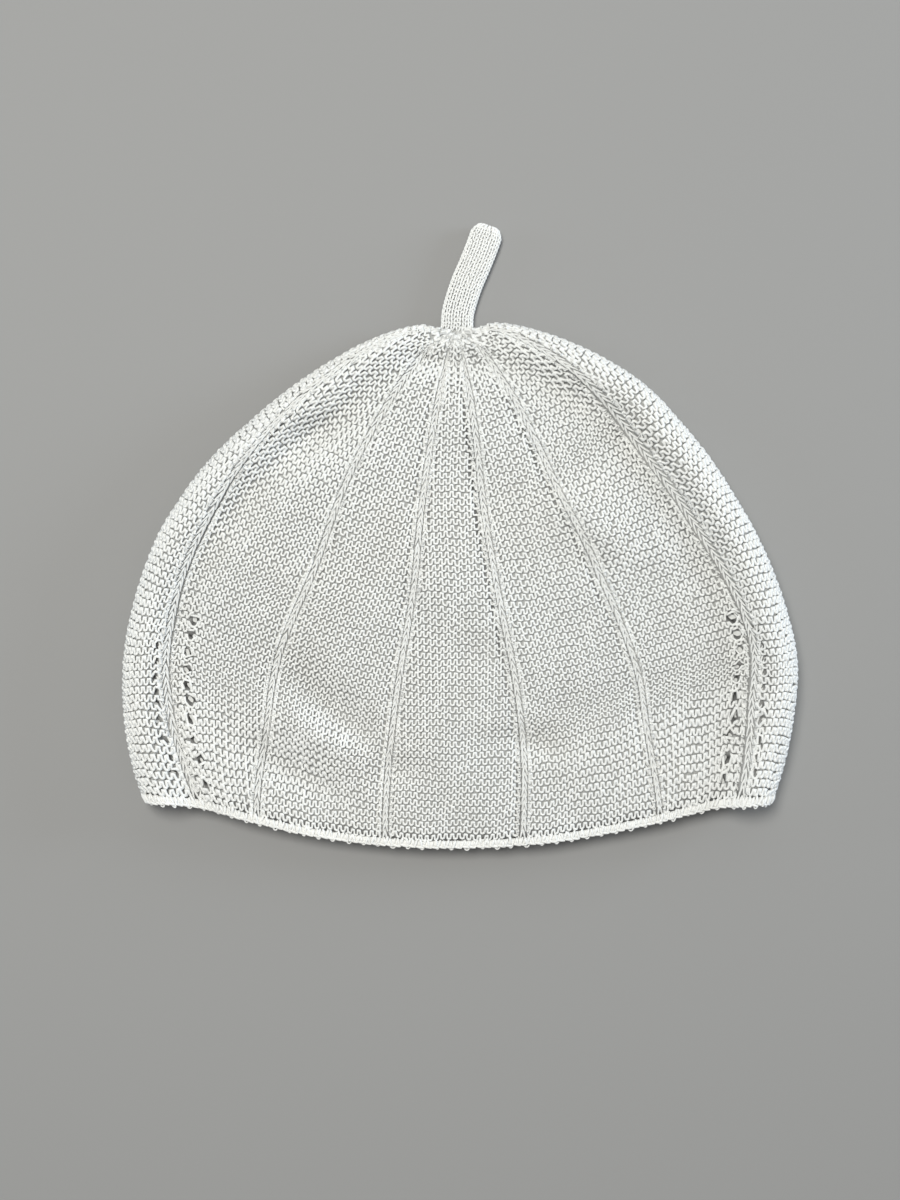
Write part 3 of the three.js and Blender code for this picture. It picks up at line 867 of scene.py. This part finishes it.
def ground_mesh(wall, material):
    """The knit's own ground under the stitches, and its inner face: one hollow wall, with the painted
    shade of its outer face as a point attribute.
    """
    sizes = wall.sizes
    columns = sizes.gores * GROUND_COLUMNS
    gore = np.arange(columns) / GROUND_COLUMNS
    inner_places = ridge_places(sizes)
    step = inner_places[1] - inner_places[0]
    rings, lifts = [], []
    for along in np.linspace(FIRST_RING, LAST_RING, GROUND_RINGS):
        rings.append(along)
        below_stitches = GROUND_DEPTH * float(smooth((along + 0.02) / 0.08))
        below_band = 0.4 * MM * float(smooth((along - 0.97) / 0.01))
        lifts.append(-below_stitches - below_band)
    for along in inner_places[::-1]:
        if along > HOLLOW_START:
            rings += [along + 0.25 * step, along - 0.25 * step]
            lifts += [-sizes.wall - 0.1 * MM, -sizes.wall + 0.5 * MM]
    lift = np.repeat(np.array(lifts)[:, None], columns, axis=1)
    painted_shade = painted_ground_shade(wall, np.array(rings), gore)
    outer = np.array(rings[:GROUND_RINGS])
    for along, place, radius in eyelet_places(wall):
        row = int(np.argmin(np.abs(outer - along)))
        column = int(round(np.mod(place, sizes.gores) * GROUND_COLUMNS)) % columns
        lift[row, column] -= 2 * radius
        half_round = sizes.gores / 2
        away = np.mod(gore - place + half_round, sizes.gores) - half_round
        across = away * wall.width(int(place), along)
        up = (outer - along) * sizes.length * WAY_DOWN
        distance = np.hypot(across[None, :], up[:, None])
        # Painted shade in each eyelet, darkest at its middle, for the dark inside of the cap
        hole = smooth(2.2 - distance / (1.1 * radius))
        painted_shade[:GROUND_RINGS] = np.maximum(painted_shade[:GROUND_RINGS], hole)
    loops = [wall.place(np.full(columns, along), gore, lift[row])[0]
             for row, along in enumerate(rings)]
    points = np.vstack([*loops, loops[0].mean(0)[None], loops[-1].mean(0)[None]])
    count = len(loops)
    quads, quad_uv = loop_faces(count, columns, count)
    start, end = pole_faces(count, columns)
    start_uv = pole_map(columns, 1 - 1 / count, 1 - 0.55 / count)
    end_uv = start_uv + np.array([0, 0.5 / count])
    uvs = np.concatenate([uv.reshape(-1, 2) for uv in (quad_uv, start_uv, end_uv)])
    piece = faces_mesh("knit_ground", points, [quads, start, end], uvs, material)
    depth = piece.data.attributes.new("painted_shade", "FLOAT", "POINT")
    depth.data.foreach_set("value", np.append(painted_shade.ravel(), (0, 0)).astype(np.float32))
    return piece


class NIGHTCAP_OT_ground(bpy.types.Operator):
    """Make the hollow ground of the knit, with its inner face"""

    bl_idname = "nightcap.ground"
    bl_label = "Ground"

    def execute(self, context):
        colours = context.scene.nightcap_colours
        wall = wall_of(context)
        piece = ground_mesh(wall, shaded_ground(wall.sizes, colours.cotton))
        finish_piece(piece, "cap_body")
        return {"FINISHED"}


class NIGHTCAP_OT_gores(bpy.types.Operator):
    """Knit the garter-stitch gores"""

    bl_idname = "nightcap.gores"
    bl_label = "Gores"

    def execute(self, context):
        sizes = context.scene.nightcap_sizes
        wall = wall_of(context)
        yarn = cotton("cotton_yarn", context.scene.nightcap_colours.cotton, shade=1, grain=YARN_GRAIN)
        draw = np.random.default_rng(5)
        eyelets = eyelet_places(wall)
        for gore in range(sizes.gores):
            is_seen = gore <= 5 or gore == sizes.gores - 1
            strands = garter_strands(wall, gore, not is_seen, eyelets, draw)
            sides = 4 if is_seen else 3
            piece = strands_mesh(f"knit_gore_{gore + 1:02d}", strands, sides, yarn, sizes.ridges)
            finish_piece(piece, "cap_body")
        return {"FINISHED"}


class NIGHTCAP_OT_ribs(bpy.types.Operator):
    """Knit the ribs between the gores"""

    bl_idname = "nightcap.ribs"
    bl_label = "Ribs"

    def execute(self, context):
        sizes = context.scene.nightcap_sizes
        wall = wall_of(context)
        colour = context.scene.nightcap_colours.cotton
        # Painted shade: the ribs' yarn is the gores' cotton a little darker, so the raised ribs, which
        # catch more light, read no lighter than the gores
        yarn = cotton("cotton_rib", colour, shade=0.92, grain=YARN_GRAIN)
        draw = np.random.default_rng(8)
        for rib in range(sizes.gores):
            sides = 5 if rib <= 5 else 3
            strands = rib_strands(wall, rib, draw)
            piece = strands_mesh(f"rib_{rib + 1:02d}", strands, sides, yarn, sizes.ridges * 2)
            finish_piece(piece, "cap_body")
        # Painted shade: the crown's gathered yarns are the same cotton darkened to 0.7, for the shade the
        # crown lies in
        yarn = cotton("cotton_gathers", colour, shade=0.7, grain=YARN_GRAIN)
        piece = strands_mesh("crown_gathers", crown_strands(wall, draw), 6, yarn, 42)
        finish_piece(piece, "cap_body")
        return {"FINISHED"}


def edge_strands(wall, draw):
    """Yarns of the edge band: a tight chain of slanted strands and a small loop at every second stitch."""
    sizes = wall.sizes
    along = 1 - 1.5 * MM / sizes.length
    per_mm = MM / sizes.length
    gore = np.linspace(0, sizes.gores, FINE)
    line = wall.place(np.full(FINE, along), gore, np.zeros(FINE))[0]
    run = run_lengths(line)
    stitches = int(round(run[-1] / (1.13 * sizes.stitch)))
    strands = []
    t = np.linspace(0, 1, 5)
    for k in range(stitches):
        for lean in (-1, 1):
            middle = (k + 0.5 + lean * 0.25 + draw.normal(0, 0.11)) / stitches * run[-1]
            at = np.interp(np.mod(middle + lean * mix(0.35, -0.4, t) * MM, run[-1]), run, gore)
            down = along + per_mm * (mix(-1.6, 1.05, t) + draw.normal(0, 0.28))
            bow = np.sin(np.pi * mix(0.1, 0.9, t))
            lift = MM * (-0.8 + 0.4 * bow + draw.normal(0, 0.14))
            strands.append((*wall.place(down, at, lift), sizes.yarn * (0.55 + 0.45 * bow)))
        middle = (k + draw.normal(0, 0.06)) / stitches * run[-1]
        at = np.interp(np.mod(middle + mix(-1.7, 1.7, t) * MM, run[-1]), run, gore)
        down = along + per_mm * (1.05 + mix(-0.35, 0.4, t) + draw.normal(0, 0.08))
        bow = np.sin(np.pi * mix(0.08, 0.92, t))
        lift = MM * (-1.15 + 0.5 * bow)
        strands.append((*wall.place(down, at, lift), sizes.yarn * (0.5 + 0.5 * bow)))
    half_turn = np.linspace(-0.18, 1.18, 8) * np.pi
    for k in range(stitches // 2):
        middle = (k + 0.25) / (stitches // 2) * run[-1] + draw.normal(0, 0.2) * MM
        size = MM * (0.72 + draw.normal(0, 0.12))
        at = np.interp(np.mod(middle + size * np.cos(half_turn), run[-1]), run, gore)
        outward = 1.3 * MM + size * 1.25 * np.sin(half_turn)
        sunk = np.full_like(half_turn, -1.2 * MM)
        base = wall.place(np.full_like(half_turn, 0.9999), at, sunk)[0]
        inner, up = wall.place(np.full_like(half_turn, 0.99), at, sunk)
        centre = base + unit(base - inner) * (outward - 1.5 * MM)[:, None]
        strands.append((centre, up, np.full_like(half_turn, 0.3 * MM)))
    return strands


def edge_core(wall, material):
    """Solid core of the edge band, a closed loop with a rounded section."""
    sizes = wall.sizes
    columns, sides = 360, 10
    gore = np.arange(columns) * sizes.gores / columns
    turn = 2 * np.pi * np.arange(sides) / sides
    loops = []
    for angle in turn:
        along = 1 - (1.55 - 1.15 * math.cos(angle)) * MM / sizes.length
        lift = MM * (-1.35 + 0.85 * math.sin(angle))
        loops.append(wall.place(np.full(columns, along), gore, np.full(columns, lift))[0])
    points = np.vstack(loops)
    quads, uvs = loop_faces(sides, columns, sides, joined=True)
    return faces_mesh("edge_core", points, [quads[:, ::-1]], uvs[:, ::-1].reshape(-1, 2), material)


class NIGHTCAP_OT_edge_band(bpy.types.Operator):
    """Make the tight edge band round the opening"""

    bl_idname = "nightcap.edge_band"
    bl_label = "Edge band"

    def execute(self, context):
        wall = wall_of(context)
        yarn = cotton("edge_yarn", context.scene.nightcap_colours.edge, shade=1, grain=YARN_GRAIN)
        strands = edge_strands(wall, np.random.default_rng(3))
        for piece in (edge_core(wall, yarn), strands_mesh("edge_chain", strands, 5, yarn, 60)):
            finish_piece(piece, "rim_edge")
        return {"FINISHED"}


def stem_surface(along, around, lift):
    """Points and normals of the stem's face: along from the crown to its tip, and around, a share of
    the way round its flattened section."""
    length = STEM_HIGH.y - STEM_LOW.y
    crown_x = CROWN[0] * bpy.context.scene.nightcap_sizes.half_width
    line = rounded_line([(crown_x, STEM_LOW.y - STEM_FOOT_DEPTH)]
                        + [(crown_x + lean * length, STEM_LOW.y + a * length)
                           for a, lean in zip(STEM_LINE["along"], STEM_LINE["lean"])])
    middle = along_line(line, along)
    after = along_line(line, np.minimum(along + 0.01, 1))
    before = along_line(line, np.maximum(along - 0.01, 0))
    ahead = unit(after - before)
    right = np.column_stack([ahead[:, 1], -ahead[:, 0]])
    fine = np.linspace(0, 2 * np.pi, 721)
    section = np.column_stack([STEM_HALF_WIDTH * rounded(np.cos(fine), STEM_WIDTH_POWER),
                               STEM_HALF_THICKNESS * rounded(np.sin(fine), STEM_THICKNESS_POWER)])
    run = run_lengths(section)
    turn = np.interp(np.mod(around, 1) * run[-1], run, fine)
    taper = np.sqrt(np.clip(1 - np.clip((along - 0.9) / 0.1, 0, 1)**2 * 0.75, 0, 1))
    half_width = STEM_HALF_WIDTH * taper
    half_thick = STEM_HALF_THICKNESS * mix(0.75, 1, smooth(along / 0.12)) * mix(0.7, 1, taper)
    cos, sin = np.cos(turn), np.sin(turn)
    normal = unit(np.column_stack([right * (cos / half_width)[:, None], sin / half_thick]))
    plan = middle + right * (rounded(cos, STEM_WIDTH_POWER) * half_width)[:, None]
    height = STEM_MIDDLE + rounded(sin, STEM_THICKNESS_POWER) * half_thick
    point = np.column_stack([plan, height]) + normal * lift[:, None]
    point[:, 2] = np.maximum(point[:, 2], 0.45 * MM)
    return point, normal


def stem_strands(draw):
    """Knit stitches round the stem, and the bound-off stitches at its tip."""
    strands = []
    t = np.linspace(0, 1, 5)
    for row in range(STEM_ROWS):
        for wale in range(STEM_WALES):
            for leg in (-1, 1):
                around = (wale + 0.25 + leg * mix(0.1, 0.4, t) + draw.normal(0, 0.03)) / STEM_WALES
                along = (row + 0.2 + 1.3 * t + draw.normal(0, 0.05)) / (STEM_ROWS + 1.2)
                bow = np.sin(np.pi * mix(0.08, 0.92, t))
                face = stem_surface(along, around, MM * (-0.62 + 0.28 * bow))
                strands.append((*face, STEM_YARN * (0.48 + 0.52 * bow)))
    for wale in range(STEM_WALES):
        around = np.full(4, (wale + 0.25) / STEM_WALES)
        along = np.array([0.95, 0.98, 0.99, 1.0])
        face = stem_surface(along, around, np.array([-0.5, -0.3, -0.5, -1.4]) * MM)
        strands.append((*face, np.array([0.35, 0.62, 0.62, 0.35]) * MM))
    return strands


def stem_core(material):
    """Closed core of the stem under its stitches."""
    sides, count = 20, 40
    around = np.arange(sides) / sides
    loops = [stem_surface(np.full(sides, along), around, np.full(sides, -1.05 * MM))[0]
             for along in np.linspace(0.01, 0.985, count)]
    points = np.vstack([*loops, loops[0].mean(0)[None], loops[-1].mean(0)[None]])
    quads, quad_uv = loop_faces(count, sides, count + 1)
    start, end = pole_faces(count, sides)
    start_uv = pole_map(sides, (count - 0.2) / (count + 1), (count - 0.9) / (count + 1))
    end_uv = start_uv + np.array([0, 0.9 / (count + 1)])
    faces = [turned_over(corners) for corners in (quads, start, end)]
    uvs = np.concatenate([turned_over(uv).reshape(-1, 2) for uv in (quad_uv, start_uv, end_uv)])
    return faces_mesh("stem_core", points, faces, uvs, material)


class NIGHTCAP_OT_stem(bpy.types.Operator):
    """Knit the short stem at the crown"""

    bl_idname = "nightcap.stem"
    bl_label = "Stem"

    def execute(self, context):
        sizes = context.scene.nightcap_sizes
        colours = context.scene.nightcap_colours
        yarn = cotton("stem_yarn", colours.cotton, shade=1.01, grain=STEM_GRAIN)
        strands = stem_strands(np.random.default_rng(2))
        # The stem's core wears the ground's cotton, and so the painted shade of the ground's outer face
        # over its part nearer the crown
        ground = shaded_ground(sizes, colours.cotton)
        for piece in (stem_core(ground), strands_mesh("stem_stitches", strands, 5, yarn, 60)):
            finish_piece(piece, "stem")
        return {"FINISHED"}


def area_light(name, place, target, size, watts, colour):
    """A soft round light that shines from its place to a target."""
    light = bpy.data.lights.new(name, "AREA")
    light.shape = "DISK"
    light.size = size
    light.energy = watts
    light.color = colour
    lamp = bpy.data.objects.new(name, light)
    lamp.location = place
    lamp.rotation_euler = (Vector(target) - Vector(place)).to_track_quat("-Z", "Y").to_euler()
    bpy.context.collection.objects.link(lamp)


class NIGHTCAP_OT_stage(bpy.types.Operator):
    """Set the plain floor, the soft light and the camera above"""

    bl_idname = "nightcap.stage"
    bl_label = "Stage"

    def execute(self, context):
        scene = context.scene
        bpy.ops.object.select_all(action="DESELECT")
        bpy.ops.mesh.primitive_plane_add(size=6, location=(0, 0, -0.0003))
        floor = context.active_object
        floor.name = "floor"
        material = bpy.data.materials.new("plain_floor")
        material.use_nodes = True
        shader = material.node_tree.nodes["Principled BSDF"]
        shader.inputs["Base Color"].default_value = (*scene.nightcap_colours.floor, 1)
        shader.inputs["Roughness"].default_value = 0.8
        floor.data.materials.append(material)
        area_light("sky", place=(-0.22, 0.3, 1.3), target=(0, -0.04, 0),
                   size=0.55, watts=16.5, colour=(1, 0.995, 0.955))
        area_light("left_window", place=(-1.1, 0.25, 0.24), target=(0, 0, 0),
                   size=0.5, watts=2.2, colour=(0.76, 0.87, 1))
        area_light("right_window", place=(1.1, 0.3, 0.24), target=(0, 0, 0),
                   size=0.5, watts=8.4, colour=(0.76, 0.87, 1))
        world = bpy.data.worlds.new("studio")
        world.use_nodes = True
        world.node_tree.nodes["Background"].inputs["Color"].default_value = (0.96, 0.98, 1, 1)
        world.node_tree.nodes["Background"].inputs["Strength"].default_value = 0.34
        scene.world = world
        scene.view_settings.view_transform = "Standard"
        camera = bpy.data.objects.new("camera", bpy.data.cameras.new("camera"))
        camera.data.lens = 50.3
        camera.data.sensor_width = 36
        camera.location = (-0.0036, -0.0242, 0.63)
        bpy.context.collection.objects.link(camera)
        scene.camera = camera
        return {"FINISHED"}


def wall_of(context):
    """The cap's outer face, worked out once for a set of sizes."""
    sizes = context.scene.nightcap_sizes
    key = tuple(getattr(sizes, name) for name in NightcapSizes.__annotations__)
    if key not in MADE_WALLS:
        MADE_WALLS[key] = KnittedWall(sizes)
    return MADE_WALLS[key]


MADE_WALLS = {}


class NIGHTCAP_PT_panel(bpy.types.Panel):
    """Sizes, colours and pieces of the cap"""

    bl_idname = "NIGHTCAP_PT_panel"
    bl_label = "Knitted nightcap"
    bl_space_type = "VIEW_3D"
    bl_region_type = "UI"
    bl_category = "Nightcap"

    def draw(self, context):
        for group in (context.scene.nightcap_sizes, context.scene.nightcap_colours):
            for name in type(group).__annotations__:
                self.layout.prop(group, name)
        for operator in OPERATORS:
            self.layout.operator(operator.bl_idname)


OPERATORS = (
    NIGHTCAP_OT_stage,
    NIGHTCAP_OT_ground,
    NIGHTCAP_OT_gores,
    NIGHTCAP_OT_ribs,
    NIGHTCAP_OT_edge_band,
    NIGHTCAP_OT_stem,
)
CLASSES = (NightcapSizes, NightcapColours, *OPERATORS, NIGHTCAP_PT_panel)


def register():
    for each in CLASSES:
        bpy.utils.register_class(each)
    bpy.types.Scene.nightcap_sizes = PointerProperty(type=NightcapSizes)
    bpy.types.Scene.nightcap_colours = PointerProperty(type=NightcapColours)


def unregister():
    del bpy.types.Scene.nightcap_colours
    del bpy.types.Scene.nightcap_sizes
    for each in reversed(CLASSES):
        bpy.utils.unregister_class(each)


def main():
    register()
    bpy.ops.nightcap.stage()
    bpy.ops.nightcap.ground()
    bpy.ops.nightcap.gores()
    bpy.ops.nightcap.ribs()
    bpy.ops.nightcap.edge_band()
    bpy.ops.nightcap.stem()


if __name__ == "__main__":
    main()
